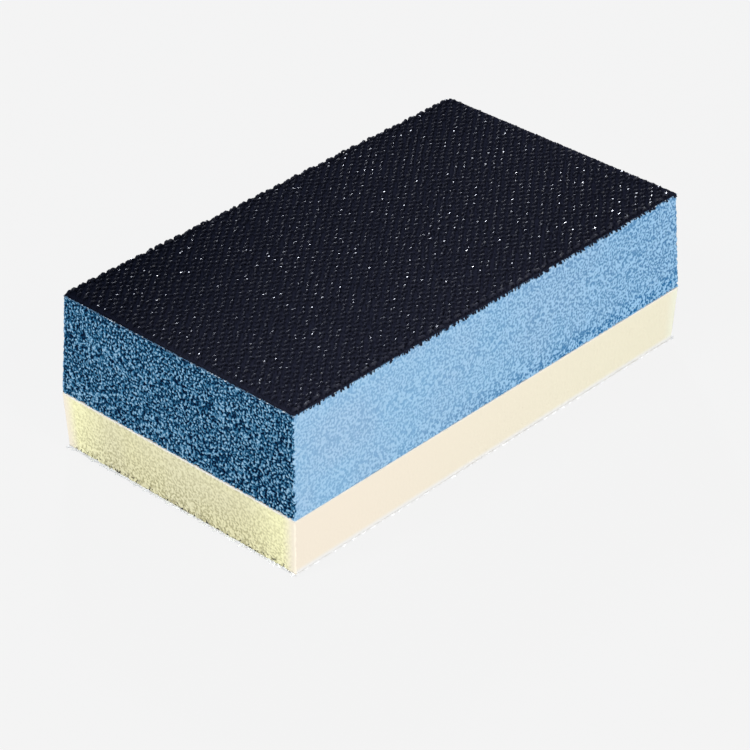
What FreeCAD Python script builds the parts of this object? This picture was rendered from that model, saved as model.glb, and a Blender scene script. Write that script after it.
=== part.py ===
"""A double-sided sanding block that carries a hook-and-loop sheet on either face.

The block is a stack of flat layers glued face to face.  From the surface it stands on, upwards:
a white hook tape (hooks, woven backing, adhesive), the soft cream foam, the glue line between
the foams, the thick blue foam, and a black hook tape (adhesive, woven backing, hooks).

The stack is cut to size with one long blade, which leans a little, so the block is widest at
the glue line between the two foams and narrows slightly towards both faces.

Frame: millimetres, +X along the length, +Y across the width, +Z up out of the black face.
The origin is the centre of the white face, where the block stands.
"""
import FreeCAD, Part
import os

# Driving dimensions, in millimetres.
BLOCK_LENGTH = 125.0            # along X at the glue line: the length of a standard sheet
BLOCK_WIDTH = 70.0              # along Y at the glue line: the width of a standard sheet

WHITE_HOOK_HEIGHT = 0.65        # from the woven backing to the crown of a hook
WHITE_BACKING_THICKNESS = 0.35
WHITE_ADHESIVE_THICKNESS = 0.10
CREAM_FOAM_THICKNESS = 13.65
GLUE_LINE_THICKNESS = 0.15
BLUE_FOAM_THICKNESS = 24.0
BLACK_ADHESIVE_THICKNESS = 0.10
BLACK_BACKING_THICKNESS = 0.35
BLACK_HOOK_HEIGHT = 0.65

UPPER_LEAN = 1.3                # how far each side leans in from the glue line to the black face
LOWER_LEAN = 0.6                # the same, from the glue line down to the white face

# The layers, from the white face up.  Each one starts where the one below it ends.
LAYERS = (
    ("white_hooks", WHITE_HOOK_HEIGHT),
    ("white_hook_backing", WHITE_BACKING_THICKNESS),
    ("white_adhesive_film", WHITE_ADHESIVE_THICKNESS),
    ("cream_foam", CREAM_FOAM_THICKNESS),
    ("glue_line", GLUE_LINE_THICKNESS),
    ("blue_foam", BLUE_FOAM_THICKNESS),
    ("black_adhesive_film", BLACK_ADHESIVE_THICKNESS),
    ("black_hook_backing", BLACK_BACKING_THICKNESS),
    ("black_hooks", BLACK_HOOK_HEIGHT),
)


def stack_levels():
    """The height of each layer's underside, by name, and the height of the whole stack."""
    levels = {}
    height = 0.0
    for name, thickness in LAYERS:
        levels[name] = height
        height += thickness
    return levels, height


UNDERSIDES, BLOCK_HEIGHT = stack_levels()
GLUE_LINE_UNDERSIDE = UNDERSIDES["glue_line"]
GLUE_LINE_TOP = UNDERSIDES["blue_foam"]


def lean_at(height):
    """How far each side has leaned in at a height: nothing beside the glue line."""
    above = max(0.0, height - GLUE_LINE_TOP) / (BLOCK_HEIGHT - GLUE_LINE_TOP)
    below = max(0.0, GLUE_LINE_UNDERSIDE - height) / GLUE_LINE_UNDERSIDE
    return UPPER_LEAN * above + LOWER_LEAN * below


def outline(height):
    """The block's rectangular outline at a height, as a closed wire."""
    half_length = BLOCK_LENGTH / 2 - lean_at(height)
    half_width = BLOCK_WIDTH / 2 - lean_at(height)
    corners = [
        FreeCAD.Vector(-half_length, -half_width, height),
        FreeCAD.Vector(half_length, -half_width, height),
        FreeCAD.Vector(half_length, half_width, height),
        FreeCAD.Vector(-half_length, half_width, height),
    ]
    return Part.makePolygon(corners + corners[:1])


def layer(name, thickness):
    """One layer of the stack: a closed slab whose sides follow the sides of the block."""
    bottom = UNDERSIDES[name]
    make_solid, flat_sides = True, True
    return Part.makeLoft([outline(bottom), outline(bottom + thickness)], make_solid, flat_sides)


def main():
    os.makedirs("parts", exist_ok=True)
    for name, thickness in LAYERS:
        solid = layer(name, thickness)
        solid.exportStep(f"parts/{name}.step")
        box = solid.BoundBox
        print(f"{name:20s} {box.XLength:7.2f} x {box.YLength:6.2f} x {box.ZLength:6.2f} mm, "
              f"from z = {box.ZMin:6.2f}, volume {solid.Volume / 1000:7.2f} cm3")
    print(f"the block stands {BLOCK_HEIGHT:.2f} mm high")


main()
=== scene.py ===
# %% [markdown]
# # A double-sided sanding block
#
# This block is a sandwich.  A thick blue foam slab and a thinner cream one are glued together, and
# each outer face carries a tape full of small nylon hooks, which grip the loops on the back of an
# abrasive sheet.  The sizes of the sandwich come from the imported CAD model.  This script gives
# every layer the surface that it has in the hand: sawn foam cells, woven tape, hooks and glue.
#
# The first cell loads the CAD model and notes its box, which the last cell prints beside the new
# box.

# %% Load the frame
import math

import bpy
import numpy as np
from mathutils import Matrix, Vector


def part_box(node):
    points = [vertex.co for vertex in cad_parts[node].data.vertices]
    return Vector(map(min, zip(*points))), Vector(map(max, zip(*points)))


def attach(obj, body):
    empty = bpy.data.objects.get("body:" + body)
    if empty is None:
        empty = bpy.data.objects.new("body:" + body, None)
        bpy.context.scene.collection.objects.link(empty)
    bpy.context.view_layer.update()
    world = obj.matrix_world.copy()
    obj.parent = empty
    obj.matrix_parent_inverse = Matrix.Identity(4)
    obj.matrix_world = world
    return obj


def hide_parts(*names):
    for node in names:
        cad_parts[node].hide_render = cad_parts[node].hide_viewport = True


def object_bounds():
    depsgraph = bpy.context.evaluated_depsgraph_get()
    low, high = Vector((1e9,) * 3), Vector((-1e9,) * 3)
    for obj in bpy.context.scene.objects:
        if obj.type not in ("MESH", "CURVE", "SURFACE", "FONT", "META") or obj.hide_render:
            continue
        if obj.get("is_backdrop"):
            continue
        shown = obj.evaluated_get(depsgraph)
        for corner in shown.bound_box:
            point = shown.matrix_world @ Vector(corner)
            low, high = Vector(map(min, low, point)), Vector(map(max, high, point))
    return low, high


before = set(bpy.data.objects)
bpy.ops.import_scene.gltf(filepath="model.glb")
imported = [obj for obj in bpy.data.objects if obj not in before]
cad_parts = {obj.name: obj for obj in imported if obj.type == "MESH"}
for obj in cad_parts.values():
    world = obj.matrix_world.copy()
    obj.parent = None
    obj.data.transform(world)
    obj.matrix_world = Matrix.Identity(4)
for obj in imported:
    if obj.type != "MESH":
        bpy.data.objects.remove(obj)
cad_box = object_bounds()
print("CAD nodes:", ", ".join(sorted(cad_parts)))

MM = 0.001                      # Blender works in metres here, and this part in millimetres
scene = bpy.context.scene

# %% [markdown]
# ## Where the layers are
#
# Every place in this script is read from the boxes of the CAD nodes.  The sides of the block lean
# in a little, so each layer has one outline at its underside and another at its top.  A node's box
# gives its widest outline, and the outline at its narrow end is the box of the next layer out.

# %% Outlines and heights of the layers
def half_size(node):
    """Half the length and half the width of a node's widest outline."""
    low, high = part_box(node)
    return (high.x - low.x) / 2, (high.y - low.y) / 2


def span(node):
    """The heights of a node's underside and of its top."""
    low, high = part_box(node)
    return low.z, high.z


for node in ("white_hooks", "cream_foam", "blue_foam", "black_hooks"):
    print(f"{node}: from {span(node)[0] / MM:.2f} to {span(node)[1] / MM:.2f} mm")

# %% [markdown]
# ## Writing node trees as expressions
#
# Geometry Nodes and shaders are both trees of small boxes joined by wires.  Written out one link
# at a time they are hard to read, so one small class wraps the end of a wire.  `a * 2 + b` then
# adds the Math nodes, and `add` makes any other node: its settings first, then what goes into its
# sockets.  The same class serves both kinds of tree, because they share their maths and textures.

# %% A wire that does arithmetic
class Wire:
    """The output socket of a node, with the arithmetic that this script uses."""

    def __init__(self, tree, socket):
        self.tree = tree
        self.socket = socket

    def math(self, operation, *others):
        sockets = dict(enumerate((self, *others)))
        return add(self.tree, "ShaderNodeMath", {"operation": operation}, sockets)

    def __add__(self, other):
        return self.math("ADD", other)

    def __sub__(self, other):
        return self.math("SUBTRACT", other)

    def __mul__(self, other):
        return self.math("MULTIPLY", other)

    def __truediv__(self, other):
        return self.math("DIVIDE", other)

    __radd__ = __add__
    __rmul__ = __mul__

    def __rsub__(self, other):
        return self * -1.0 + other

    def __rtruediv__(self, other):
        return self.math("POWER", -1.0) * other

    def other(self, name):
        """Another output of the same node."""
        return Wire(self.tree, find_socket(self.socket.node.outputs, name))

    def stepped(self, low, high):
        """0 below low, 1 above high, and a smooth slope between them."""
        settings = {"interpolation_type": "SMOOTHSTEP"}
        sockets = {"Value": self, "From Min": low, "From Max": high}
        return add(self.tree, "ShaderNodeMapRange", settings, sockets)


def add(tree, kind, settings=None, sockets=None, output=0):
    """A new node.  Its settings are set first, then its sockets, by name or by number."""
    node = tree.nodes.new(kind)
    for name, value in (settings or {}).items():
        if name == "stops":
            set_stops(node.color_ramp, value)
        else:
            setattr(node, name, value)
    for key, value in (sockets or {}).items():
        socket = find_socket(node.inputs, key)
        if isinstance(value, Wire):
            tree.links.new(value.socket, socket)
        else:
            socket.default_value = value
    return Wire(tree, find_socket(node.outputs, output)) if node.outputs else None


def find_socket(sockets, key):
    """A socket in use, by its number or by its name."""
    in_use = [socket for socket in sockets if socket.enabled]
    if isinstance(key, int):
        return in_use[key]
    return next(socket for socket in in_use if socket.name == key)


def set_stops(ramp, stops):
    """Gives a colour ramp its stops, as pairs of position and colour."""
    while len(ramp.elements) < len(stops):
        ramp.elements.new(1.0)
    for element, (position, colour) in zip(ramp.elements, stops):
        element.position = position
        element.color = colour


trial = bpy.data.node_groups.new("trial", "ShaderNodeTree")
flipped = 1.0 - add(trial, "ShaderNodeValue") * 2.0
print("1 - a * 2 takes", len(flipped.tree.nodes) - 1, "Math nodes")
bpy.data.node_groups.remove(trial)

# %% [markdown]
# ## Colours, vectors and noise
#
# A Math node works on plain numbers, and would turn a colour grey.  So colours are mixed by Mix
# nodes, and vectors go through Vector Math nodes.  These helpers also hold the two things that
# nearly every finish here reads: soft noise, and the values that a mesh stores at its points.

# %% Helpers for colours, vectors, noise and attributes
def vector_math(operation, *values):
    """A Vector Math node.  SCALE takes a vector and a number, and the others take vectors."""
    tree = next(value.tree for value in values if isinstance(value, Wire))
    output = "Value" if operation == "DISTANCE" else "Vector"
    sockets = dict(enumerate(values))
    if operation == "SCALE":
        sockets = {"Vector": values[0], "Scale": values[1]}
    return add(tree, "ShaderNodeVectorMath", {"operation": operation}, sockets, output)


def blend(factor, first, second, kind="RGBA"):
    """The first value where the factor is 0, and the second where it is 1."""
    sockets = {"Factor": factor, "A": first, "B": second}
    return add(factor.tree, "ShaderNodeMix", {"data_type": kind}, sockets, "Result")


def noise(position, size, detail=1.0, shift=0.0):
    """Soft noise, from 0 to 1.  Its lumps stand between one and two sizes apart."""
    offset = shift if isinstance(shift, Wire) else (shift, shift, shift)
    place = vector_math("ADD", position, offset)
    sockets = {"Vector": place, "Scale": 1.0 / size, "Detail": detail}
    return add(position.tree, "ShaderNodeTexNoise", {}, sockets, "Fac")


def attribute(tree, name, kind="FLOAT"):
    """Reads a mesh attribute, in either kind of tree."""
    if tree.bl_idname == "GeometryNodeTree":
        node = "GeometryNodeInputNamedAttribute"
        return add(tree, node, {"data_type": kind}, {"Name": name}, "Attribute")
    output = "Vector" if kind == "FLOAT_VECTOR" else "Fac"
    return add(tree, "ShaderNodeAttribute", {"attribute_name": name}, output=output)


def grey(value):
    """A colour with as much red as green and blue."""
    return (value, value, value, 1.0)


print("helpers ready: vector_math, blend, noise, attribute, grey")

# %% [markdown]
# ## Camera
#
# The block is seen from above one corner, from well back, through a long lens, so its edges run
# almost parallel.  The camera is placed by the direction it looks along, and aims a little above
# the middle of the black face, which leaves more of the pale floor in front than behind.

# %% The camera
CAMERA_AZIMUTH = -47.14         # degrees; 0 looks along +Y
CAMERA_ELEVATION = 30.23        # degrees above the floor
CAMERA_DISTANCE = 617.96 * MM   # from the middle of the top of the blue foam
AIM_AZIMUTH = CAMERA_AZIMUTH + 0.10
AIM_ELEVATION = CAMERA_ELEVATION + 2.64
SENSOR_WIDTH = 36.0             # both in millimetres of the camera, not of the part
LENS_LENGTH = 136.8


def direction(azimuth, elevation):
    """The unit vector from the block towards a viewer at that azimuth and elevation."""
    a, e = math.radians(azimuth), math.radians(elevation)
    return Vector((math.sin(a) * math.cos(e), -math.cos(a) * math.cos(e), math.sin(e)))


foam_top = Vector((0.0, 0.0, span("blue_foam")[1]))
lens = bpy.data.cameras.new("camera")
lens.sensor_width = SENSOR_WIDTH
lens.lens = LENS_LENGTH
camera = bpy.data.objects.new("camera", lens)
camera.location = foam_top + direction(CAMERA_AZIMUTH, CAMERA_ELEVATION) * CAMERA_DISTANCE
camera.rotation_mode = "QUATERNION"
aim = -direction(AIM_AZIMUTH, AIM_ELEVATION)
camera.rotation_quaternion = aim.to_track_quat("-Z", "Y")
scene.collection.objects.link(camera)
scene.camera = camera
print("camera at", [round(value, 3) for value in camera.location])

# %% [markdown]
# ## Light
#
# Small shiny hooks only sparkle if something small and bright shines on them while most of the
# sky above is dark.  So the room is a pale table that glows like a light box, a pale band along
# the horizon, and a dark ceiling with three soft boxes.  The key shines almost straight at the
# long side of the block, and only grazes its end, which brings out the sawn cells there.

# %% Soft boxes
def soft_box(name, azimuth, elevation, distance, size, watts, colour=(1.0, 1.0, 1.0)):
    """A square light that faces the block."""
    data = bpy.data.lights.new(name, "AREA")
    data.shape = "SQUARE"
    data.size = size
    data.energy = watts
    data.color = colour
    lamp = bpy.data.objects.new(name, data)
    towards = direction(azimuth, elevation)
    lamp.location = towards * distance
    lamp.rotation_euler = towards.to_track_quat("Z", "Y").to_euler()
    scene.collection.objects.link(lamp)
    print(f"{name}: {watts} W from azimuth {azimuth}, elevation {elevation}")


COOL_WHITE = (0.84, 0.89, 1.0)

# Azimuth and elevation in degrees, distance and size in metres, then watts.
soft_box("key", -8.0, 38.0, 1.0, 0.20, 6.2)
soft_box("end_fill", -100.0, 48.0, 1.0, 0.20, 5.2)
soft_box("sparkle", 140.0, 32.0, 1.0, 0.10, 7.0, COOL_WHITE)

# %% [markdown]
# ## The room
#
# The world could be one even grey, but then every hook would reflect the same grey on all sides
# and none would sparkle.  Here it is pale at the horizon, to run into the floor without a line, and
# dark overhead.  The height of the direction that a ray leaves in chooses between the two.

# %% The room: pale at the horizon, dark overhead
PALE = 0.905                    # how bright the floor and the horizon look, with 1 as white
CEILING = 0.10                  # how bright it is overhead
PALE_UP_TO = 0.10               # the height of a direction, where the sky starts to darken
CEILING_FROM = 0.35             # and where it is as dark as the ceiling

room = bpy.data.worlds.new("room")
room.use_nodes = True
scene.world = room
sky = room.node_tree
sky.nodes.clear()
looking = add(sky, "ShaderNodeTexCoord", output="Generated")
height = add(sky, "ShaderNodeSeparateXYZ", sockets={"Vector": looking}, output="Z")
tone = blend(height.stepped(PALE_UP_TO, CEILING_FROM), grey(PALE), grey(CEILING))
backdrop = add(sky, "ShaderNodeBackground", sockets={"Color": tone, "Strength": 1.0})
add(sky, "ShaderNodeOutputWorld", sockets={"Surface": backdrop})
scene.view_settings.view_transform = "Standard"
print(f"the room is {PALE} at the horizon and {CEILING} overhead")

# %% [markdown]
# ## The table
#
# A white table under studio lights is never quite even.  One that glows by itself is, and it
# lights the sides of the block softly from below as well.  What it lacks is the shade under the
# block, because a glow can't be shaded.  So its finish grows darker from just inside the block's
# outline, nearly black below the ends and only a little darker below the long sides.

# %% Helpers for materials and meshes
def new_material(name):
    """An empty material, and its tree."""
    material = bpy.data.materials.new(name)
    material.use_nodes = True
    material.node_tree.nodes.clear()
    return material, material.node_tree


def finish_material(material, surface):
    """Gives the material its surface, the shader that everything else feeds."""
    tree = material.node_tree
    add(tree, "ShaderNodeOutputMaterial", sockets={"Surface": surface})
    print(f"{material.name}: {len(tree.nodes)} nodes")


def mesh_object(name, vertices, faces, smooth=False):
    """An object at the origin from its vertices and faces."""
    mesh = bpy.data.meshes.new(name)
    mesh.from_pydata(vertices, [], faces)
    mesh.validate()
    if smooth:
        mesh.shade_smooth()
    piece = bpy.data.objects.new(name, mesh)
    scene.collection.objects.link(piece)
    return piece


print("helpers ready: new_material, finish_material, mesh_object")

# %% The pale table
TABLE_SIZE = 8.0                # metres, so that its far edge lies at the horizon
TABLE_GLOW = 0.97               # how much of the pale tone is its own glow
TABLE_MATT = 0.02               # the little that it takes from the lamps
SHADE_STARTS = 0.3 * MM         # how far in under the block the glow of the table starts to fade
SHADE_FULL = 1.3 * MM           # and how far in it is down to its lowest
SHADE_BELOW_END = 0.03          # that lowest tone, below the dark ends
SHADE_BELOW_SIDE = 0.80         # and below the long sides, where the key light reaches in


def light_box_finish(half_length, half_width):
    """A pale table that glows, except right under the block, which shades it."""
    material, tree = new_material("light_box")
    place = add(tree, "ShaderNodeTexCoord", output="Object")
    apart = add(tree, "ShaderNodeSeparateXYZ", {}, {"Vector": place}, "X")
    past_end = apart.math("ABSOLUTE") - half_length
    past_side = apart.other("Y").math("ABSOLUTE") - half_width
    outside = past_end.math("MAXIMUM", past_side).stepped(-SHADE_FULL, -SHADE_STARTS)
    nearer_end = (past_end - past_side).stepped(-0.5 * MM, 0.5 * MM)
    shade = blend(nearer_end, grey(SHADE_BELOW_SIDE), grey(SHADE_BELOW_END))
    glow = add(tree, "ShaderNodeEmission", {}, {
        "Color": blend(outside, shade, grey(PALE)), "Strength": TABLE_GLOW})
    matt = add(tree, "ShaderNodeBsdfDiffuse", {}, {"Color": grey(TABLE_MATT)})
    finish_material(material, add(tree, "ShaderNodeAddShader", {}, {0: glow, 1: matt}))
    return material


light_box = light_box_finish(*half_size("white_hooks"))

reach = TABLE_SIZE / 2
corners = [(-reach, -reach, 0.0), (reach, -reach, 0.0), (reach, reach, 0.0), (-reach, reach, 0.0)]
floor = mesh_object("floor", corners, [(0, 1, 2, 3)])
floor.data.materials.append(light_box)
floor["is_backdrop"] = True

# %% [markdown]
# ## The foam's cells
#
# Sawn foam is a froth cut open: knots and rims of plastic between small hollows.  One noise
# pattern says how high a point lies between the bottom of a hollow and the top of a knot.  The same
# expression is used twice: in Geometry Nodes, to press the hollows into the mesh, and in the
# shader, to colour them, with painted shade in the hollows.  Both read `rest`, the place of a
# point before anything moved.
#
# How the surface looks depends on the cut.  The ends are cut across, which tears the cells wide
# open, and the long sides are slit along, which leaves them nearly closed at the end where the
# knife went in.  The attribute `torn` says how deep the hollows are, and the attribute `end` says
# which of the two cuts a point belongs to.

# %% The pattern of knots and hollows
HOLLOW_BELOW = 0.32             # the noise under this is the bottom of a hollow
KNOT_ABOVE = 0.70               # and over this it is the top of a knot


def froth(rest, cell, shift):
    """Where each point lies in the froth: 0 in the bottom of a hollow, 1 on top of a knot."""
    return noise(rest, cell, 0.0, shift).stepped(HOLLOW_BELOW, KNOT_ABOVE)


print(f"froth: hollows below {HOLLOW_BELOW}, knots above {KNOT_ABOVE}")

# %% [markdown]
# ## A slab's shell
#
# Relief needs points to move, so each slab of foam gets a shell whose four sides are one fine
# grid.  A subdivided cube would put as many points on its two large faces, which are hidden under
# glue.  Here rings of points are stacked from the bottom up instead.  The rings turn the four
# corners on a small radius, and each one is a little larger or smaller than the one below it, as
# the leaning sides of the block ask.

# %% A slab's shell, as a fine grid round its sides
CORNER_RADIUS = 0.35 * MM


def round_outline(half_length, half_width, step):
    """Points round a rectangle with small round corners, and the direction outwards at each."""
    points = []
    radius = CORNER_RADIUS
    straight = ((half_length - radius) * 2, (half_width - radius) * 2)
    turns = ((0.0, -1.0), (1.0, 0.0), (0.0, 1.0), (-1.0, 0.0))
    for side, outwards in enumerate(turns):
        along = (-outwards[1], outwards[0])
        run = straight[side % 2]
        reach_out = half_width if side % 2 == 0 else half_length
        count = round(run / step)
        for i in range(count + 1):
            s = (i / count - 0.5) * run
            point = [along[k] * s + outwards[k] * reach_out for k in (0, 1)]
            points.append((*point, *outwards))
        corner = [along[k] * run / 2 + outwards[k] * (reach_out - radius) for k in (0, 1)]
        turned = math.radians(45.0)
        middle = [outwards[k] * math.cos(turned) + along[k] * math.sin(turned) for k in (0, 1)]
        points.append((corner[0] + middle[0] * radius, corner[1] + middle[1] * radius, *middle))
    return np.array(points)


def foam_shell(name, bottom_half, top_half, heights, step):
    """A closed slab whose sides are a fine grid.  Its two hidden faces are single polygons."""
    low, high = heights
    rows = round((high - low) / step)
    first = round_outline(*bottom_half, step)
    top_scale = (np.array(top_half) - CORNER_RADIUS) / (np.array(bottom_half) - CORNER_RADIUS)
    count = len(first)
    core = first[:, :2] - first[:, 2:] * CORNER_RADIUS
    rings = []
    for row in range(rows + 1):
        share = row / rows
        ring = np.empty((count, 3))
        ring[:, :2] = core * (1.0 + (top_scale - 1.0) * share) + first[:, 2:] * CORNER_RADIUS
        ring[:, 2] = low + (high - low) * share
        rings.append(ring)
    here = np.arange(count)
    after = (here + 1) % count
    quads = [np.stack([r * count + here, r * count + after, (r + 1) * count + after,
                       (r + 1) * count + here], axis=1) for r in range(rows)]
    faces = np.concatenate(quads).tolist()
    faces.append(here[::-1].tolist())
    faces.append((here + rows * count).tolist())
    piece = mesh_object(name, np.concatenate(rings), faces, smooth=True)
    for polygon in piece.data.polygons[-2:]:
        polygon.use_smooth = False
    return piece, np.tile(first[:, 2:], (rows + 1, 1))


COARSE_STEP = 1.0 * MM
outline = round_outline(*half_size("blue_foam"), COARSE_STEP)
print(f"{len(outline)} points round the blue slab, if they were {COARSE_STEP / MM} mm apart")

# %% [markdown]
# ## Two kinds of cut
#
# A saw tears foam and a knife slits it, and the tearing doesn't stop in a clean line: at each
# upright corner it runs over by a tooth here and stops a tooth short there.  The two kinds could
# be two pieces, but then a seam would show.  So each point of one shell stores how much it belongs
# to an end and how torn it is, and both the relief and the finish read that.

# %% Which cut each point belongs to, and how torn it is
LONG_SIDE_TORN = 0.08           # at the end where the slitting knife went in
LONG_SIDE_TORN_END = 0.55       # at the end where it came out
LOW_EDGE_TORN = 0.45            # more, along the lower edge, where the knife dragged
LOW_EDGE = 5.0 * MM             # how high that reaches
TOOTH_PITCH = 0.55 * MM         # along a corner, between the teeth of the torn cut


def store(mesh, name, values):
    """Stores one number at each point of a mesh."""
    mesh.attributes.new(name, "FLOAT", "POINT").data.foreach_set("value", values)


def past_corner(x, y, z, outwards):
    """How far each point lies past the nearest upright corner, positive on an end."""
    level = np.round(z, 6)
    heights, ring = np.unique(level, return_inverse=True)
    half = [np.array([np.abs(side[level == h]).max() for h in heights]) for side in (x, y)]
    on_end = np.abs(outwards[:, 0]) > 0.5
    return np.where(on_end, half[1][ring] - np.abs(y), np.abs(x) - half[0][ring])


def mark_foam(piece, outwards, tooth, fade, seed):
    """Stores each point's place, which cut it belongs to and how torn it is.

    The torn cut of an end stops at the corner, more or less: by up to a tooth either way.
    """
    mesh = piece.data
    places = np.empty(len(mesh.vertices) * 3)
    mesh.vertices.foreach_get("co", places)
    rest = mesh.attributes.new("rest", "FLOAT_VECTOR", "POINT")
    rest.data.foreach_set("vector", places)
    x, y, z = places.reshape(-1, 3).T
    low, high = z.min(), z.max()
    corner = (x > 0) + (y > 0) * 2
    along_corners = (z - low) + corner * (high - low)
    knots = np.arange(0.0, (high - low) * 4, TOOTH_PITCH)
    teeth = np.random.default_rng(seed).uniform(-tooth, tooth, len(knots))
    past = past_corner(x, y, z, outwards) - np.interp(along_corners, knots, teeth)
    end = np.clip(past / fade, 0.0, 1.0)
    store(mesh, "end", end)
    along = x / np.abs(x).max() / 2 + 0.5
    slit = LONG_SIDE_TORN + (LONG_SIDE_TORN_END - LONG_SIDE_TORN) * along
    slit = slit + LOW_EDGE_TORN * np.clip(1.0 - (z - low) / LOW_EDGE, 0.0, 1.0) * along
    torn = end + (1.0 - end) * slit
    store(mesh, "torn", torn)
    print(f"{piece.name}: torn from {torn.min():.2f} to {torn.max():.2f}")


print(f"long sides: torn {LONG_SIDE_TORN} at the -X end, {LONG_SIDE_TORN_END} at the +X end")

# %% [markdown]
# ## Pressing the cells into the mesh
#
# A Geometry Nodes tree moves each point inwards by the pattern.  Geometry Nodes suit this better
# than a Displace modifier, because the tree can read `torn` and can share its pattern with the
# shader.  Once evaluated, the result is kept as a plain mesh.

# %% Helpers for Geometry Nodes trees
def new_geometry_tree(name, inputs):
    """A tree with named inputs.  Returns the tree and a wire for each input."""
    tree = bpy.data.node_groups.new(name, "GeometryNodeTree")
    kinds = {"Geometry": "NodeSocketGeometry", "Material": "NodeSocketMaterial",
             "Seed": "NodeSocketInt"}
    for label in inputs:
        kind = kinds.get(label, "NodeSocketFloat")
        tree.interface.new_socket(label, in_out="INPUT", socket_type=kind)
    tree.interface.new_socket("Geometry", in_out="OUTPUT", socket_type="NodeSocketGeometry")
    entry = tree.nodes.new("NodeGroupInput")
    wires = {label: Wire(tree, entry.outputs[label]) for label in inputs}
    return tree, wires


def end_tree(tree, geometry, material):
    """Makes the instances real, gives them their material and hands them out."""
    real = add(tree, "GeometryNodeRealizeInstances", {}, {"Geometry": geometry})
    dressed = add(tree, "GeometryNodeSetMaterial", {}, {"Geometry": real, "Material": material})
    way_out = tree.nodes.new("NodeGroupOutput")
    tree.links.new(dressed.socket, way_out.inputs["Geometry"])
    print(f"tree {tree.name}: {len(tree.nodes)} nodes")


def run_tree(piece, tree, values):
    """Runs a tree on a piece with the given inputs, and keeps the result as a plain mesh."""
    modifier = piece.modifiers.new(tree.name, "NODES")
    modifier.node_group = tree
    for item in tree.interface.items_tree:
        if item.name in values:
            modifier[item.identifier] = values[item.name]
    graph = bpy.context.evaluated_depsgraph_get()
    made = bpy.data.meshes.new_from_object(piece.evaluated_get(graph))
    made.name = piece.name
    piece.modifiers.remove(modifier)
    piece.data = made
    triangles = sum(len(polygon.vertices) - 2 for polygon in made.polygons)
    print(f"{piece.name}: {triangles} triangles")


print("helpers ready: new_geometry_tree, end_tree, run_tree")

# %% The tree that presses the hollows in
def foam_relief_tree():
    """Presses each point in along its normal, the deeper the more it is torn."""
    inputs = ("Geometry", "Cell Size", "Hollow Depth", "Pattern Shift", "Material")
    tree, wire = new_geometry_tree("foam_relief", inputs)
    rest = attribute(tree, "rest", "FLOAT_VECTOR")
    height = froth(rest, wire["Cell Size"], wire["Pattern Shift"])
    depth = (1.0 - height) * attribute(tree, "torn") * wire["Hollow Depth"]
    normal = add(tree, "GeometryNodeInputNormal")
    inwards = vector_math("SCALE", normal, depth * -1.0)
    moved = add(tree, "GeometryNodeSetPosition", {}, {
        "Geometry": wire["Geometry"], "Offset": inwards})
    end_tree(tree, moved, wire["Material"])
    return tree


foam_relief = foam_relief_tree()

# %% [markdown]
# ## Blue foam
#
# The thick slab is a firm blue foam.  Where it is torn its rims catch the light and its hollows
# are painted shade, a deep navy, in many steps between.  Where it is slit the same cells show as a
# soft mottle, with paler painted shade in the hollows, which grows towards the +X end.  Two mixes
# of two blues are enough for the mottle, but the torn ends need a colour ramp, whose stops can
# follow the steps one by one.

# %% The finish of the blue foam
BLUE_CELL = 0.56 * MM
BLUE_DEPTH = 0.32 * MM
BLUE_SHIFT = 3.1                # picks the stretch of noise that this slab is cut from
BLUE_BUMP = 0.15 * MM           # the finest relief, which the grid is too coarse for
BLUE_DRIFT = 14.0 * MM          # between the paler and the deeper patches of the long sides
GRAIN_SHARE = 0.3               # how much of the pattern is a finer grain instead of the cells
# Painted shade: the lower stops darken the hollows of the torn ends nearly to black.
TORN_BLUES_HOLLOW_SHADE = (                  # from the bottom of a hollow to the top of a rim
    (0.12, (0.000, 0.004, 0.022, 1.0)), (0.32, (0.002, 0.041, 0.106, 1.0)),
    (0.52, (0.018, 0.115, 0.228, 1.0)), (0.72, (0.072, 0.215, 0.365, 1.0)),
    (0.94, (0.285, 0.485, 0.665, 1.0)))
# Painted shade on the long sides: the hollows are darker blues than the knots, darkest where torn.
FRESH_HOLLOW_SHADES = ((0.215, 0.380, 0.585, 1.0), (0.190, 0.380, 0.600, 1.0))
FRESH_KNOTS = ((0.360, 0.540, 0.725, 1.0), (0.335, 0.540, 0.735, 1.0))
DEEP_HOLLOW_SHADE = (0.008, 0.130, 0.315, 1.0)
WORN_KNOT = (0.305, 0.530, 0.760, 1.0)


def blue_foam_finish():
    """Hollows in painted shade: many blues on the torn ends, a soft mottle on the slit long sides.
    """
    material, tree = new_material("blue_foam")
    rest = attribute(tree, "rest", "FLOAT_VECTOR")
    torn = attribute(tree, "torn")
    end = attribute(tree, "end")
    height = froth(rest, BLUE_CELL, BLUE_SHIFT)
    grain = noise(rest, BLUE_CELL * 0.7, 0.0, 7.7).stepped(0.30, 0.70)
    shade = height * (1.0 - GRAIN_SHARE) + grain * GRAIN_SHARE
    torn_colour_and_shade = add(tree, "ShaderNodeValToRGB", {"stops": TORN_BLUES_HOLLOW_SHADE}, {"Fac": shade})
    drift = noise(rest, BLUE_DRIFT, 2.0, 1.3).stepped(0.3, 0.7)
    # The more torn a point is, the deeper the painted shade in its hollow.
    torn_depth = torn.stepped(0.08, 0.80)
    hollow = blend(torn_depth, blend(drift, *FRESH_HOLLOW_SHADES), DEEP_HOLLOW_SHADE)
    knot = blend(torn_depth, blend(drift, *FRESH_KNOTS), WORN_KNOT)
    slit_colour_and_shade = blend(shade.stepped(0.05, 0.85), hollow, knot)
    relief = add(tree, "ShaderNodeBump", {}, {
        "Height": shade, "Strength": 0.5, "Distance": BLUE_BUMP})
    surface = add(tree, "ShaderNodeBsdfPrincipled", {}, {
        "Base Color": blend(end, slit_colour_and_shade, torn_colour_and_shade), "Roughness": 0.85,
        "Specular IOR Level": 0.05, "Normal": relief})
    finish_material(material, surface)
    return material


blue_finish = blue_foam_finish()

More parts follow.
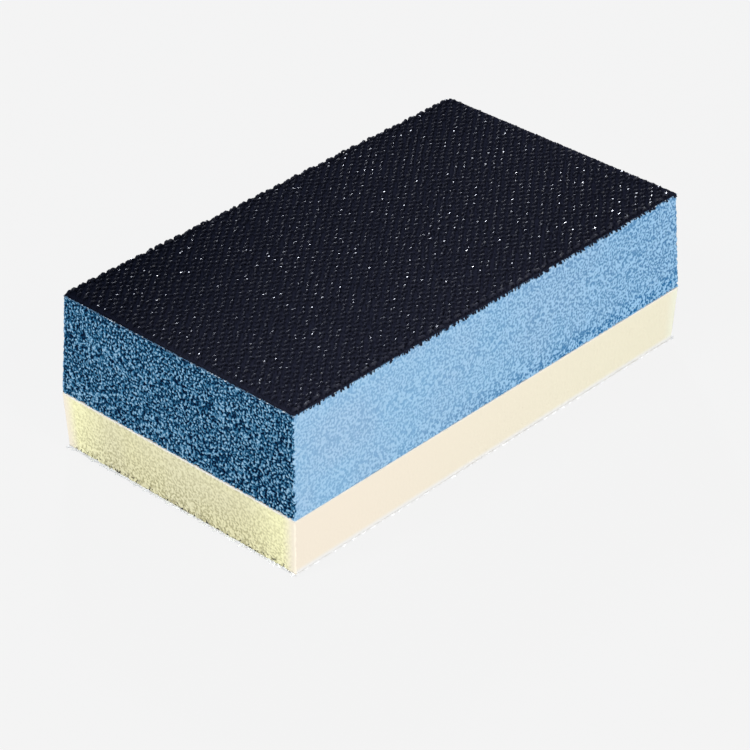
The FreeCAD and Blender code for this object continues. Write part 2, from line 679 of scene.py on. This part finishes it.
# %% The blue slab
BLUE_GRID = 0.22 * MM           # between the points of the shell
BLUE_TOOTH = 0.7 * MM           # how far the torn cut strays past a corner, either way
BLUE_FADE = 0.15 * MM           # how wide the change from one cut to the other is
BLUE_SEED = 5

blue_foam, outwards = foam_shell(
    "blue_foam_cells", half_size("blue_foam"), half_size("black_adhesive_film"),
    span("blue_foam"), BLUE_GRID)
mark_foam(blue_foam, outwards, BLUE_TOOTH, BLUE_FADE, BLUE_SEED)
run_tree(blue_foam, foam_relief, {
    "Cell Size": BLUE_CELL, "Hollow Depth": BLUE_DEPTH, "Pattern Shift": BLUE_SHIFT,
    "Material": blue_finish})
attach(blue_foam, "root")
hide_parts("blue_foam")

# %% [markdown]
# ## Cream foam
#
# The thin slab is pale yellow where it is torn and peach where it is slit smooth.  The torn end is
# duller in its middle than near its corners, and right at the corners it fades to the colour of the
# long sides.  Its hollows are darkened with painted shade, more of it low down, and just above the
# tape it has painted shadows of the gaps between the tape's bristles.  Its cells are shallow.  So
# it is the same kind of shell as the blue slab with much less relief, and more of its look comes
# from its colours, which have a function for each kind of cut.

# %% The colours of the slit long sides of the cream foam
SLIT_NEAR = (0.818, 0.735, 0.612, 1.0)          # peach, at the -X end
SLIT_FAR = (0.785, 0.742, 0.574, 1.0)           # and a little yellower at the +X end
BLEACHED = (0.800, 0.820, 0.690, 1.0)
PALE_BY_TAPE = (0.800, 0.800, 0.790, 1.0)
CORNER_BLEACH = 4.5 * MM        # how far light has bleached the long sides from their +X corners
MOST_BLEACH = 0.8               # and how much it has, right at those corners
PALE_BY_TAPE_REACH = 1.6 * MM            # how far up from the tape they grow paler


def slit_cream(place):
    """The colour of a slit side, from a wire with the three parts of the place."""
    half_length = half_size("cream_foam")[0]
    low = span("cream_foam")[0]
    along = place.other("X")
    slit = blend(along.stepped(-half_length, half_length), SLIT_NEAR, SLIT_FAR)
    bleach = along.stepped(half_length - CORNER_BLEACH, half_length) * MOST_BLEACH
    paled = 1.0 - place.other("Z").stepped(low, low + PALE_BY_TAPE_REACH)
    return blend(paled, blend(bleach, slit, BLEACHED), PALE_BY_TAPE)


print(f"bleached over {CORNER_BLEACH / MM} mm, soaked over {PALE_BY_TAPE_REACH / MM} mm")

# %% The colours of the torn ends of the cream foam
CREAM_CELL = 0.60 * MM
CREAM_SHIFT = 9.4
CREAM_DRIFT = 16.0 * MM         # between the duller and the clearer patches of the torn ends
DULL_YELLOWS = ((0.815, 0.785, 0.530, 1.0), (0.845, 0.815, 0.515, 1.0))
CORNER_YELLOW = (1.000, 0.985, 0.600, 1.0)
# Painted shade, darkening the hollows of the cells:
CREAM_HOLLOW_SHADE = (0.300, 0.275, 0.130, 1.0)
# Painted shadow, for the gaps between the tape's bristles:
GAP_SHADOW = (0.030, 0.030, 0.035, 1.0)
PALE_CORNER = (0.930, 0.850, 0.710, 1.0)
GAP_SHADOW_ZONE = 2.0 * MM             # how far up the painted gap shadows reach on the torn ends, from the tape
GAP_SHADOW_SIZE = 0.65 * MM


def torn_cream(rest, place, height, end):
    """Torn-end colour: yellow, painted shade in hollows, painted gap shadows low down, pale
    corners.
    """
    low, high = span("cream_foam")
    half_width = half_size("cream_foam")[1]
    level = place.other("Z")
    drift = noise(rest, CREAM_DRIFT, 1.0, 2.6).stepped(0.3, 0.7)
    near_corner = place.other("Y").math("ABSOLUTE").stepped(half_width * 0.5, half_width * 0.98)
    body = blend(near_corner, blend(drift, *DULL_YELLOWS), CORNER_YELLOW)
    grain = noise(rest, CREAM_CELL * 0.6, 0.0, 4.3).stepped(0.28, 0.72)
    # Painted shade in the cell hollows: twice as deep low on the end as at its top, less near
    # corners.
    more_shade_low_down = 1.0 - level.stepped(low, low + (high - low) * 0.9) * 0.5
    shade = 1.0 - height * (1.0 - GRAIN_SHARE) - grain * GRAIN_SHARE
    hollow_shade = shade.math("POWER", 1.5) * more_shade_low_down
    hollow_shade = hollow_shade * (1.0 - near_corner * 0.35)
    hollow_shaded = blend(hollow_shade * 0.85, body, CREAM_HOLLOW_SHADE)
    # Painted shadow: near-black specks low down, where the gaps between the bristles are in shade.
    low_edge = 1.0 - level.stepped(low, low + GAP_SHADOW_ZONE)
    gap_shadows = (1.0 - noise(rest, GAP_SHADOW_SIZE, 0.0, 2.2).stepped(0.33, 0.39)) * low_edge
    return blend(end.stepped(0.0, 1.0), PALE_CORNER, blend(gap_shadows, hollow_shaded, GAP_SHADOW))


print(f"cream cells of {CREAM_CELL / MM} mm, pits up to {GAP_SHADOW_ZONE / MM} mm above the tape")

# %% The finish of the cream foam
CREAM_BUMP = 0.06 * MM
GLUE_SOAK = 0.6 * MM            # how far the glue between the foams has soaked down into the cells
GLUED_SIDE = (0.830, 0.765, 0.660, 1.0)
GLUED_END = (0.900, 0.890, 0.840, 1.0)


def cream_foam_finish():
    """The torn colour where a point belongs to an end, and the slit colour elsewhere."""
    material, tree = new_material("cream_foam")
    rest = attribute(tree, "rest", "FLOAT_VECTOR")
    end = attribute(tree, "end")
    place = add(tree, "ShaderNodeSeparateXYZ", {}, {"Vector": rest}, "Z")
    height = froth(rest, CREAM_CELL, CREAM_SHIFT)
    torn_colour_and_shade = torn_cream(rest, place, height, end)
    colour = blend(end.stepped(0.0, 0.03), slit_cream(place), torn_colour_and_shade)
    high = span("cream_foam")[1]
    glued = blend(end, GLUED_SIDE, GLUED_END)
    colour = blend(place.stepped(high - GLUE_SOAK, high), colour, glued)
    relief = add(tree, "ShaderNodeBump", {}, {
        "Height": height * attribute(tree, "torn"), "Strength": 0.4, "Distance": CREAM_BUMP})
    surface = add(tree, "ShaderNodeBsdfPrincipled", {}, {
        "Base Color": colour, "Roughness": 0.8, "Specular IOR Level": 0.15, "Normal": relief})
    finish_material(material, surface)
    return material


cream_finish = cream_foam_finish()

# %% The cream slab
CREAM_GRID = 0.24 * MM
CREAM_DEPTH = 0.14 * MM
CREAM_TOOTH = 0.1 * MM          # a soft foam tears less far past its corners
CREAM_FADE = 4.2 * MM           # but its torn cut grows shallow well before them
CREAM_SEED = 6

cream_foam, outwards = foam_shell(
    "cream_foam_cells", half_size("white_adhesive_film"), half_size("glue_line"),
    span("cream_foam"), CREAM_GRID)
mark_foam(cream_foam, outwards, CREAM_TOOTH, CREAM_FADE, CREAM_SEED)
run_tree(cream_foam, foam_relief, {
    "Cell Size": CREAM_CELL, "Hollow Depth": CREAM_DEPTH, "Pattern Shift": CREAM_SHIFT,
    "Material": cream_finish})
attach(cream_foam, "root")
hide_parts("cream_foam")

# %% [markdown]
# ## Adhesive
#
# The three films of adhesive keep their CAD shapes, because a film a tenth of a millimetre thick
# shows only its edge: the pale line between the foams.  A finish is all that they need.  Under the
# black tape the film has taken up blue dust from the sawing, so only specks of it stay pale.

# %% The finishes of the adhesive
def adhesive_finish(name, speck_size, fewest, dusty, clean):
    """Glossy patches of clean glue in glue that holds dust."""
    material, tree = new_material(name)
    place = add(tree, "ShaderNodeTexCoord", output="Object")
    patches = noise(place, speck_size, 2.0).stepped(fewest, fewest + 0.15)
    surface = add(tree, "ShaderNodeBsdfPrincipled", {}, {
        "Base Color": blend(patches, dusty, clean), "Roughness": 0.75 - patches * 0.35})
    finish_material(material, surface)
    return material


clear_adhesive = adhesive_finish("adhesive", 1.7 * MM, 0.40,
                                 (0.78, 0.76, 0.70, 1.0), (0.86, 0.84, 0.79, 1.0))
dusty_adhesive = adhesive_finish("dusty_adhesive", 0.7 * MM, 0.55,
                                 (0.050, 0.130, 0.240, 1.0), (0.75, 0.85, 0.93, 1.0))
for node, finish in (("white_adhesive_film", clear_adhesive), ("glue_line", clear_adhesive),
                     ("black_adhesive_film", dusty_adhesive)):
    cad_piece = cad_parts[node]
    cad_piece.data.materials.clear()
    cad_piece.data.materials.append(finish)
    print(node, "keeps its CAD shape")

# %% [markdown]
# ## Hook tape
#
# A hook tape is woven.  Thick nylon monofilament is carried over the cloth in arches, set by heat,
# and each arch is then cut, which leaves a hook.  The hooks stand in staggered rows, in pairs that
# bend away from each other.  One Geometry Nodes tree is run twice for each tape: once for the
# hooks that bend one way, and once for those that bend the other way.

# %% Dust and wear on a tape
HALF_LENGTH, HALF_WIDTH = half_size("black_hooks")
DUST = 0.58                     # how dusty a tape is in its middle, from 0 to 1
DUST_TOWARDS_SIDE = 0.26        # more at its -Y edge, and as much less at its +Y edge
DUST_RUBBED_OFF = 0.32          # less at two opposite corners, -X +Y and +X -Y
DUST_STREAKS = 0.4              # and up to this much more in streaks
HANDLED_WITHIN = 10.0 * MM      # how near the +X -Y corner its hooks are polished most
HANDLED_UP_TO = 90.0 * MM       # and how far from it the polish still shows


def rubbed(place):
    """1 at the two opposite corners of a tape that rub the most, and 0 on the rest of it."""
    x = add(place.tree, "ShaderNodeSeparateXYZ", {}, {"Vector": place}, "X")
    twist = x * x.other("Y") / (HALF_LENGTH * HALF_WIDTH)
    return 1.0 - twist.stepped(-0.7, 0.1)


def dust(place):
    """How much dust a tape holds at a place."""
    y = add(place.tree, "ShaderNodeSeparateXYZ", {}, {"Vector": place}, "Y")
    return DUST - y * (DUST_TOWARDS_SIDE / HALF_WIDTH) - rubbed(place) * DUST_RUBBED_OFF


def handled(place):
    """1 at the +X -Y corner of a tape, which the hand polishes most, and 0 far from it."""
    flat = vector_math("MULTIPLY", place, (1.0, 1.0, 0.0))
    distance = vector_math("DISTANCE", flat, (HALF_LENGTH, -HALF_WIDTH, 0.0))
    return 1.0 - distance.stepped(HANDLED_WITHIN, HANDLED_UP_TO)


print(f"a tape reaches {HALF_LENGTH / MM:.1f} by {HALF_WIDTH / MM:.1f} mm from its middle")

# %% [markdown]
# ### Nylon and cloth
#
# Nylon monofilament is smooth, but dust dulls all of a hook except the crown, where sheets have
# rubbed it bright.  The hook could carry two materials.  One is enough here, because each hook
# stores how polished it is and how near its crown a point lies, and the two together drive a clear
# coat.  The cloth under the hooks is the same nylon as spun yarn, so it is dull all over.

# %% The nylon of the hooks and the cloth under them
STREAK_SIZE = 0.5 * MM
POLISH_CONTRAST = 2.5           # a power above 1 makes most hooks dull and a few bright
LEAST_COAT = 0.03               # the clear coat of a hook that has no polish at all
YARN_PITCH = 0.55 * MM


def nylon_finish(name, dark, light):
    """Nylon with a polished spot on the crown of each hook, more on some hooks than on others."""
    material, tree = new_material(name)
    contrast = attribute(tree, "polish").math("POWER", POLISH_CONTRAST)
    polish = contrast * (1.0 - LEAST_COAT) + LEAST_COAT
    place = add(tree, "ShaderNodeTexCoord", output="Object")
    streaks = noise(place, STREAK_SIZE, 2.0)
    crown = attribute(tree, "crown").stepped(0.50, 0.80)
    surface = add(tree, "ShaderNodeBsdfPrincipled", {}, {
        "Base Color": blend(streaks * DUST_STREAKS + dust(place), dark, light),
        "Roughness": 0.6 - streaks * 0.1,
        "Specular IOR Level": 0.04, "Coat Weight": polish * crown, "Coat Roughness": 0.25})
    finish_material(material, surface)
    return material


def cloth_finish(name, dark, light, yarn):
    """Woven yarn, dull and a little uneven."""
    material, tree = new_material(name)
    place = add(tree, "ShaderNodeTexCoord", output="Object")
    fibres = noise(place, yarn * 0.25, 2.0)
    relief = add(tree, "ShaderNodeBump", {}, {"Height": fibres, "Strength": 0.6,
                                              "Distance": 0.04 * MM})
    surface = add(tree, "ShaderNodeBsdfPrincipled", {}, {
        "Base Color": blend(fibres * DUST_STREAKS + dust(place), dark, light),
        "Roughness": 0.9, "Specular IOR Level": 0.0, "Normal": relief})
    finish_material(material, surface)
    return material


BLACK = (0.003, 0.004, 0.009, 1.0)
black_nylon = nylon_finish("black_nylon", BLACK, (0.0145, 0.016, 0.028, 1.0))
black_cloth = cloth_finish("black_cloth", BLACK, (0.0140, 0.0155, 0.027, 1.0), YARN_PITCH)
white_nylon = nylon_finish("white_nylon", (0.86, 0.88, 0.90, 1.0), (0.93, 0.94, 0.95, 1.0))
white_cloth = cloth_finish("white_cloth", (0.62, 0.64, 0.67, 1.0), (0.84, 0.86, 0.88, 1.0),
                           YARN_PITCH)

# %% [markdown]
# ### One hook
#
# A hook is a straight leg and a bend that comes back down, like a walking stick.  It could be a
# Bezier curve with handles to set.  A line of six points is simpler: the first stays at the foot,
# and a sine and a cosine put the others round the bend.  With thousands of hooks, six points and
# five sides are all that one can have.

# %% The middle line of one hook
HOOK_POINTS = 6                 # along a hook: its foot, then five round its bend
HOOK_SIDES = 5                  # round the monofilament
HOOK_SWEEP = math.radians(205.0)
BEND_RISE = 0.45                # how much of the hook's height the bend takes up
CROWN_POINT = 2.5               # the crown lies between point 2 and point 3
CROWN_REACH = 0.6               # in points, either way


def hook_line(tree, wire):
    """A straight leg on the origin, and a bend that leads back down towards the cloth."""
    line = add(tree, "GeometryNodeMeshLine", {}, {"Count": HOOK_POINTS})
    number = add(tree, "GeometryNodeInputIndex")
    turned = (number - 1.0).math("MAXIMUM", 0.0) * (HOOK_SWEEP / (HOOK_POINTS - 2))
    angle = math.pi - turned
    reach = wire["Bend Width"] * 0.5
    rise = wire["Hook Height"] * BEND_RISE
    bend_height = wire["Hook Height"] - rise - wire["Wire Diameter"] * 0.5
    across = angle.math("COSINE") * reach + reach
    up = (angle.math("SINE") * rise + bend_height) * number.math("MINIMUM", 1.0)
    place = add(tree, "ShaderNodeCombineXYZ", {}, {"X": across, "Z": up})
    shaped = add(tree, "GeometryNodeSetPosition", {}, {"Geometry": line, "Position": place})
    crown = number.math("COMPARE", CROWN_POINT, CROWN_REACH)
    marked = add(tree, "GeometryNodeStoreNamedAttribute", {"data_type": "FLOAT"},
                 {"Geometry": shaped, "Name": "crown", "Value": crown})
    return add(tree, "GeometryNodeMeshToCurve", {}, {"Mesh": marked})


print(f"a hook is {HOOK_POINTS} points, bent through {math.degrees(HOOK_SWEEP):.0f} degrees")

# %% [markdown]
# ### Where the hooks stand
#
# The loom sets the hooks in rows, each shifted by half a step from the one before, and the tape is
# cut without regard to them.  So the grid of feet is a little too long, and the hooks that would
# pass the cut are deleted.  No foot stands exactly where it should, so each strays a little.

# %% The feet of the hooks, in staggered rows that reach to the edges of the tape
PITCH_ALONG = 2.80 * MM         # between two pairs of hooks in one row
ROW_SPACING = 1.07 * MM
HOOK_STRAYING = 0.17 * MM


def random_number(tree, low, high, seed):
    """A number by chance, which is a different one for every hook."""
    sockets = {"Min": low, "Max": high, "Seed": seed}
    return add(tree, "FunctionNodeRandomValue", {"data_type": "FLOAT"}, sockets)


def hook_feet(tree, wire):
    """The points that the hooks stand on, without those whose hooks would pass the cut."""
    pitch = wire["Pitch Along"]
    columns = (wire["Length"] / pitch).math("CEIL") + 1.0
    depth = wire["Width"] - wire["Wire Diameter"] * 1.5
    rows = (depth / wire["Row Spacing"]).math("ROUND") + 1.0
    grid = add(tree, "GeometryNodeMeshGrid", {}, {
        "Size X": (columns - 1.0) * pitch, "Size Y": depth,
        "Vertices X": columns, "Vertices Y": rows})
    row = add(tree, "GeometryNodeInputIndex").math("FLOORED_MODULO", rows)
    staggered = (row.math("FLOORED_MODULO", 2.0) - 0.5) * pitch * 0.5
    seed = wire["Seed"]
    place = add(tree, "ShaderNodeCombineXYZ", {}, {
        "X": staggered + random_number(tree, -1.0, 1.0, seed + 5.0) * wire["Straying"],
        "Y": random_number(tree, -1.0, 1.0, seed + 6.0) * wire["Straying"],
        "Z": wire["Level"]})
    placed = add(tree, "GeometryNodeSetPosition", {}, {"Geometry": grid, "Offset": place})
    x = add(tree, "ShaderNodeSeparateXYZ", {}, {
        "Vector": add(tree, "GeometryNodeInputPosition")}, "X")
    ahead = x * wire["Facing"].math("COSINE")
    edge = (wire["Length"] - wire["Wire Diameter"]) * 0.5
    cut_off = (ahead + wire["Bend Width"]).math("GREATER_THAN", edge)
    missing = cut_off.math("MAXIMUM", (ahead * -1.0).math("GREATER_THAN", edge))
    return add(tree, "GeometryNodeDeleteGeometry", {"domain": "POINT"}, {
        "Geometry": placed, "Selection": missing})


feet = 4 * HALF_LENGTH * HALF_WIDTH / (PITCH_ALONG * ROW_SPACING)
print(f"about {feet:.0f} pairs of hooks on a tape")

# %% [markdown]
# ### A tape full of hooks
#
# Every hook is an instance of the same short tube, leaning, turned and scaled by chance, so that
# the face glints here and there and never in lines.  The outermost hooks of the black tape stand
# taller, because no sheet has pressed them down.  Each instance stores its own polish.

# %% The tree for the hooks that bend one way
SHORTEST_HOOK = 0.88            # as a share of the full height
TURN_SHARE = 2.0                # a hook turns up to this many times as far as it leans
POLISH = 0.68                   # the most that a hook is polished by chance, on most of a tape
POLISH_HANDLED = 0.14           # more by chance at the handled corner
POLISH_LEAST = 0.20             # and what every hook there has
GROWTH_ON_ENDS = 0.4            # how much the hooks of the ends grow, for 1 along the sides


def hook_tree():
    """Stands a hook on every foot, and stores how polished it is."""
    inputs = ("Geometry", "Length", "Width", "Pitch Along", "Row Spacing", "Level",
              "Hook Height", "Bend Width", "Wire Diameter", "Facing", "Lean", "Straying",
              "Edge Growth", "Seed", "Material")
    tree, wire = new_geometry_tree("hooks", inputs)
    ring = add(tree, "GeometryNodeCurvePrimitiveCircle", {"mode": "RADIUS"},
               {"Resolution": HOOK_SIDES, "Radius": wire["Wire Diameter"] * 0.5})
    round_hook = add(tree, "GeometryNodeCurveToMesh", {},
                     {"Curve": hook_line(tree, wire), "Profile Curve": ring, "Fill Caps": True})
    hook = add(tree, "GeometryNodeSetShadeSmooth", {}, {
        "Geometry": round_hook, "Shade Smooth": False})
    seed = wire["Seed"]
    turn = add(tree, "ShaderNodeCombineXYZ", {}, {
        "X": random_number(tree, -1.0, 1.0, seed) * wire["Lean"],
        "Y": random_number(tree, -1.0, 1.0, seed + 1.0) * wire["Lean"],
        "Z": random_number(tree, -TURN_SHARE, TURN_SHARE, seed + 2.0) * wire["Lean"]
             + wire["Facing"]})
    place = add(tree, "GeometryNodeInputPosition")
    x = add(tree, "ShaderNodeSeparateXYZ", {}, {"Vector": place}, "X")
    by_end = x.math("ABSOLUTE").math(
        "GREATER_THAN", wire["Length"] * 0.5 - wire["Pitch Along"] * 0.5)
    by_side = x.other("Y").math("ABSOLUTE").math(
        "GREATER_THAN", wire["Width"] * 0.5 - wire["Row Spacing"] * 0.9)
    growth = (by_end * GROWTH_ON_ENDS).math("MAXIMUM", by_side) * wire["Edge Growth"] + 1.0
    hooks = add(tree, "GeometryNodeInstanceOnPoints", {}, {
        "Points": hook_feet(tree, wire), "Instance": hook, "Rotation": turn,
        "Scale": random_number(tree, SHORTEST_HOOK, 1.0, seed + 3.0) * growth})
    most = handled(place) * POLISH_HANDLED + POLISH
    polish = random_number(tree, 0.0, 1.0, seed + 4.0) * most + handled(place) * POLISH_LEAST
    marked = add(tree, "GeometryNodeStoreNamedAttribute",
                 {"data_type": "FLOAT", "domain": "INSTANCE"},
                 {"Geometry": hooks, "Name": "polish", "Value": polish})
    end_tree(tree, marked, wire["Material"])
    return tree


hooks_tree = hook_tree()

# %% [markdown]
# ### Two tapes from one recipe
#
# The lower tape is the upper one in white, hanging from its cloth.  A negative scale would turn
# its faces inside out, so it is made standing up and then turned half round about the X axis.

# %% A helper that places a piece of either tape
TAPE_SETBACK = 0.35 * MM        # how far the tape stops short of the edge of the foam


def turn_over(mesh):
    """Turns a mesh half a turn about the X axis, so that what stood on a floor hangs from it."""
    places = np.empty(len(mesh.vertices) * 3)
    mesh.vertices.foreach_get("co", places)
    places = places.reshape(-1, 3) * (1.0, -1.0, -1.0)
    mesh.vertices.foreach_set("co", places.ravel())
    mesh.update()


def tape_piece(name, node, tree, sizes, finish, replaces=True):
    """A piece of one tape.  The lower tape is made standing up, and then turned over."""
    colour = node.split("_")[0]
    half_length, half_width = half_size(node)
    low, high = span(node)
    upwards = colour == "black"
    piece = mesh_object(name, [], [])
    run_tree(piece, tree, {
        "Length": (half_length - TAPE_SETBACK) * 2, "Width": (half_width - TAPE_SETBACK) * 2,
        "Level": low if upwards else -high, "Hook Height": high - low, "Thickness": high - low,
        "Material": finish, **sizes})
    if not upwards:
        turn_over(piece.data)
    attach(piece, "root")
    if replaces:
        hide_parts(node)


print(f"tapes stop {TAPE_SETBACK / MM} mm short of the foam's edge")

# %% The hooks of both tapes
BEND_WIDTH = 0.74 * MM
WIRE_DIAMETER = 0.48 * MM
HOOK_LEAN = math.radians(12.0)
SEED_STEP = 11                  # every set of hooks has a seed of its own
EDGE_GROWTH = {"black": 0.40, "white": 0.0}     # how much taller the outermost hooks are
nylon = {"black": black_nylon, "white": white_nylon}
for number, (colour, way, facing) in enumerate((
        ("black", "one_way", 0.0), ("black", "other_way", math.pi),
        ("white", "one_way", 0.0), ("white", "other_way", math.pi))):
    tape_piece(f"{colour}_hooks_{way}", f"{colour}_hooks", hooks_tree, {
        "Pitch Along": PITCH_ALONG, "Row Spacing": ROW_SPACING, "Bend Width": BEND_WIDTH,
        "Wire Diameter": WIRE_DIAMETER, "Facing": facing, "Lean": HOOK_LEAN,
        "Straying": HOOK_STRAYING, "Edge Growth": EDGE_GROWTH[colour],
        "Seed": SEED_STEP * (number + 1)}, nylon[colour])

# %% [markdown]
# ## Woven backing
#
# The hooks are woven into a cloth of plain yarn.  Each yarn could be a tube of its own, but the
# hooks hide nearly all of them.  So the surface is a grid one yarn wide, in which every other
# crossing is sunk, as where a yarn passes under its neighbour.

# %% The tree for the weave
def weave_tree():
    """A flat slab whose upper face is a grid of crossings, sunk at every other one."""
    inputs = ("Geometry", "Length", "Width", "Thickness", "Level", "Yarn Pitch", "Weave Depth",
              "Material")
    tree, wire = new_geometry_tree("weave", inputs)
    along = (wire["Length"] / wire["Yarn Pitch"]).math("ROUND") + 1.0
    across = (wire["Width"] / wire["Yarn Pitch"]).math("ROUND") + 1.0
    size = add(tree, "ShaderNodeCombineXYZ", {}, {
        "X": wire["Length"], "Y": wire["Width"], "Z": wire["Thickness"]})
    slab = add(tree, "GeometryNodeMeshCube", {}, {
        "Size": size, "Vertices X": along, "Vertices Y": across, "Vertices Z": 2})
    place = add(tree, "GeometryNodeInputPosition")
    x = add(tree, "ShaderNodeSeparateXYZ", {}, {"Vector": place}, "X")
    number_x = ((x + wire["Length"] * 0.5) / wire["Yarn Pitch"]).math("ROUND")
    number_y = ((x.other("Y") + wire["Width"] * 0.5) / wire["Yarn Pitch"]).math("ROUND")
    under = (number_x + number_y).math("FLOORED_MODULO", 2.0)
    upper = x.other("Z").math("GREATER_THAN", 0.0)
    sink = under * upper * wire["Weave Depth"] * -1.0
    centre = wire["Level"] + wire["Thickness"] * 0.5
    offset = add(tree, "ShaderNodeCombineXYZ", {}, {"Z": sink + centre})
    woven = add(tree, "GeometryNodeSetPosition", {}, {"Geometry": slab, "Offset": offset})
    end_tree(tree, woven, wire["Material"])
    return tree


weave = weave_tree()

# %% The backing of both tapes
WEAVE_DEPTH = 0.14 * MM
cloth = {"black": black_cloth, "white": white_cloth}
for colour in ("black", "white"):
    tape_piece(f"{colour}_woven_backing", f"{colour}_hook_backing", weave, {
        "Yarn Pitch": YARN_PITCH, "Weave Depth": WEAVE_DEPTH}, cloth[colour])

# %% [markdown]
# ## Cut edges of the tape
#
# The blade leaves a fringe of cut yarn ends along the edge of a tape, which hang over the foam.
# Only real shapes can break up an outline, so each end is a small cone, and the tree sets the
# cones along the outline of the tape.  The cones on the ends have a size of their own, because
# the blade frays the ends and the long sides differently.

# %% The tree for the fringe
YARN_OUTWARDS = 0.8             # a yarn end points this much outwards,
YARN_ASIDE = 0.7                # up to this much to either side,
YARN_DOWN = (0.3, 1.7)          # and down by a share of the droop between these two
YARN_TIP = 0.2                  # the radius of its tip, as a share of its diameter
YARN_ROOT = 0.5                 # and the radius of its root
SHORTEST_YARN = 0.4             # as a share of the longest


def fringe_tree():
    """Sets small cones along the outline of a tape, which point out and down."""
    inputs = ("Geometry", "Length", "Width", "Thickness", "Level", "Spacing", "Yarn Length",
              "Yarn Diameter", "Droop", "Side Share", "End Share", "Seed", "Material")
    tree, wire = new_geometry_tree("fringe", inputs)
    edge = add(tree, "GeometryNodeCurvePrimitiveQuadrilateral", {"mode": "RECTANGLE"},
               {"Width": wire["Length"], "Height": wire["Width"]})
    points = add(tree, "GeometryNodeCurveToPoints", {"mode": "LENGTH"},
                 {"Curve": edge, "Length": wire["Spacing"]}, "Points")
    tangent = points.other("Tangent")
    seed = wire["Seed"]
    outwards = vector_math("CROSS_PRODUCT", tangent, (0.0, 0.0, YARN_OUTWARDS))
    aside = vector_math("SCALE", tangent, random_number(tree, -YARN_ASIDE, YARN_ASIDE, seed))
    down = add(tree, "ShaderNodeCombineXYZ", {}, {
        "Z": random_number(tree, *YARN_DOWN, seed + 1.0) * wire["Droop"] * -1.0})
    towards = vector_math("ADD", vector_math("ADD", outwards, aside), down)
    turn = add(tree, "FunctionNodeAlignRotationToVector", {"axis": "Z"}, {"Vector": towards})
    yarn = add(tree, "GeometryNodeMeshCone", {}, {
        "Vertices": 5, "Radius Top": wire["Yarn Diameter"] * YARN_TIP,
        "Radius Bottom": wire["Yarn Diameter"] * YARN_ROOT, "Depth": wire["Yarn Length"]}, "Mesh")
    level = add(tree, "ShaderNodeCombineXYZ", {}, {"Z": wire["Level"] + wire["Thickness"] * 0.5})
    lifted = add(tree, "GeometryNodeSetPosition", {}, {"Geometry": points, "Offset": level})
    x = add(tree, "ShaderNodeSeparateXYZ", {}, {
        "Vector": add(tree, "GeometryNodeInputPosition")}, "X")
    on_end = x.math("ABSOLUTE").math("GREATER_THAN", wire["Length"] * 0.499)
    share = blend(on_end, wire["Side Share"], wire["End Share"], kind="FLOAT")
    ends = add(tree, "GeometryNodeInstanceOnPoints", {}, {
        "Points": lifted, "Instance": yarn, "Rotation": turn,
        "Scale": random_number(tree, SHORTEST_YARN, 1.0, seed + 2.0) * share})
    end_tree(tree, ends, wire["Material"])
    return tree


fringe = fringe_tree()

# %% The fringe of both tapes
FRINGE_SPACING = 0.40 * MM
FRINGES = {
    "black": {"Yarn Length": 1.05 * MM, "Yarn Diameter": 0.85 * MM, "Droop": 1.0,
              "Side Share": 1.0, "End Share": 0.6, "Seed": 55},
    "white": {"Yarn Length": 1.50 * MM, "Yarn Diameter": 0.85 * MM, "Droop": 0.25,
              "Side Share": 0.2, "End Share": 1.0, "Seed": 66}}

for colour, yarns in FRINGES.items():
    tape_piece(f"{colour}_yarn_ends", f"{colour}_hook_backing", fringe,
               {"Spacing": FRINGE_SPACING, **yarns}, cloth[colour], replaces=False)

# %% [markdown]
# ## The two boxes
#
# Both boxes are printed: the CAD model's, noted at the start, and the visual model's. The
# visual model has to fill the same box as the CAD model.

# %% Print the two boxes
visual_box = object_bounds()
sizes = {"cad": [list(corner) for corner in cad_box],
         "visual": [list(corner) for corner in visual_box]}
for name, corners in sizes.items():
    print(name, [[round(value / MM, 2) for value in corner] for corner in corners])
